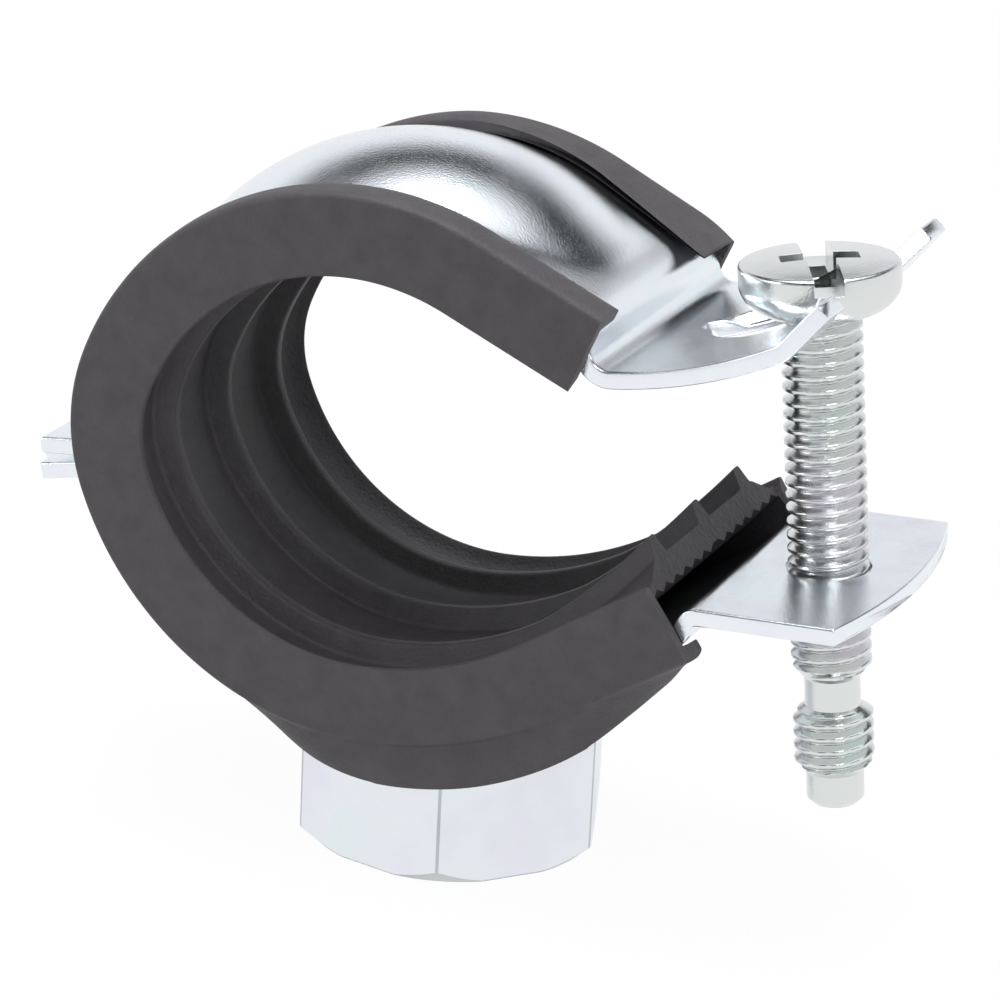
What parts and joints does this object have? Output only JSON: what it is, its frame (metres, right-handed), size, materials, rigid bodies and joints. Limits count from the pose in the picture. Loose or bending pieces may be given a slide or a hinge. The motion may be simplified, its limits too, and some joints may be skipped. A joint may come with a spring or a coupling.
{
  "type": "rubber lined pipe clamp",
  "caption": "Hinged steel pipe clamp with a ribbed rubber liner, a captive closing screw in a forked flange, and a hexagon connection nut for a threaded rod.",
  "frame": {"origin": "middle of the connection nut's flat foot, where the threaded rod enters", "axes": "+Z along the nut away from the rod, towards the pipe; Y along the pipe; +X towards the closing screw"},
  "size_m": [0.0668, 0.0264, 0.0533],
  "materials": {
    "zinc_steel": "bright zinc plated",
    "zinc_nut": "satin zinc plated",
    "zinc_screw": "bright zinc plated",
    "liner_rubber": "matt"
  },
  "bodies": {
    "lower_half": {"lower_band": "zinc_steel", "liner_lower": "liner_rubber", "connection_nut": "zinc_nut"},
    "upper_half": {"upper_band": "zinc_steel", "liner_upper": "liner_rubber"},
    "screw": {"locking_screw": "zinc_screw"}
  },
  "joints": [
    {"name": "clamp_hinge", "type": "hinge", "parent": "lower_half", "child": "upper_half", "pos_m": [-0.02587, 0, 0.0281], "axis": [0, 1, 0], "range_deg": [-8, 11.5]},
    {"name": "screw_travel", "type": "slide", "parent": "lower_half", "child": "screw", "axis": [0.1071, 0, -0.9942], "range_m": [-0.008, 0.0112]}
  ],
  "couplings": [
    {"joint": "screw_travel", "follows": "clamp_hinge", "m_per_rad": 0.05395}
  ]
}
